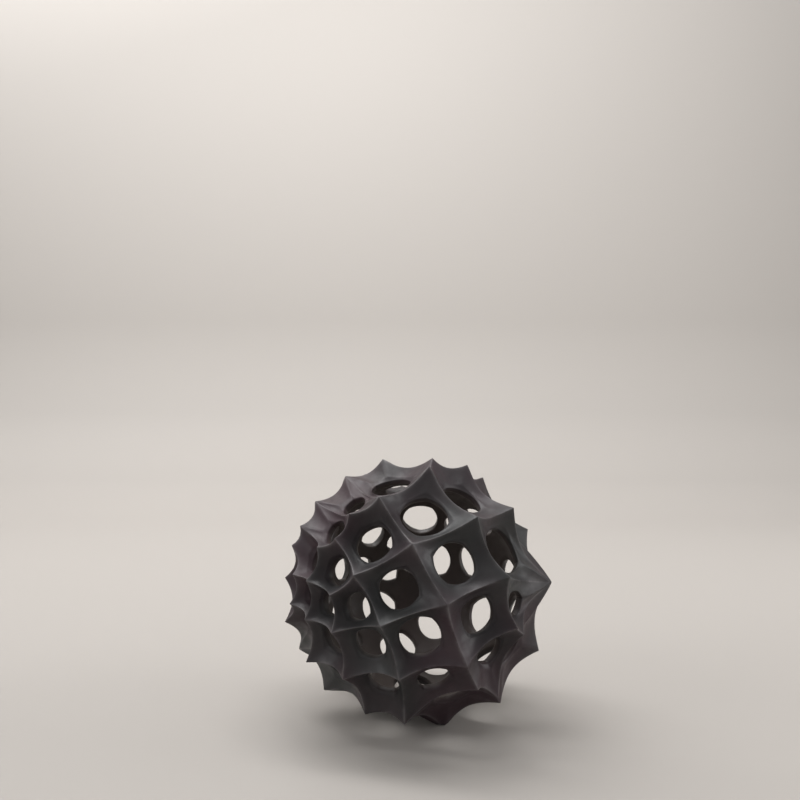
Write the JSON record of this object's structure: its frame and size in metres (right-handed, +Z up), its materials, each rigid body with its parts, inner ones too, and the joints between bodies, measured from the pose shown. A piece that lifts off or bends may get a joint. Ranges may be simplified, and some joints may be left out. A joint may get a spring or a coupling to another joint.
{
  "type": "decorative sphere",
  "caption": "Hollow openwork ball carved with round scoops that meet in sharp ridges and spike tips, each pierced by a hole, standing loose as an ornament.",
  "frame": {"origin": "centre of the ball's bounding box in plan, on the plane of its trimmed foot tips", "axes": "+Z up from the foot; the viewer who sees the front looks along +Y with +X to the right"},
  "size_m": [0.1176, 0.1162, 0.1147],
  "materials": {
    "charcoal_resin": "satin, near-black charcoal resin"
  },
  "bodies": {
    "root": {"openwork_ball": "charcoal_resin"}
  },
  "joints": []
}
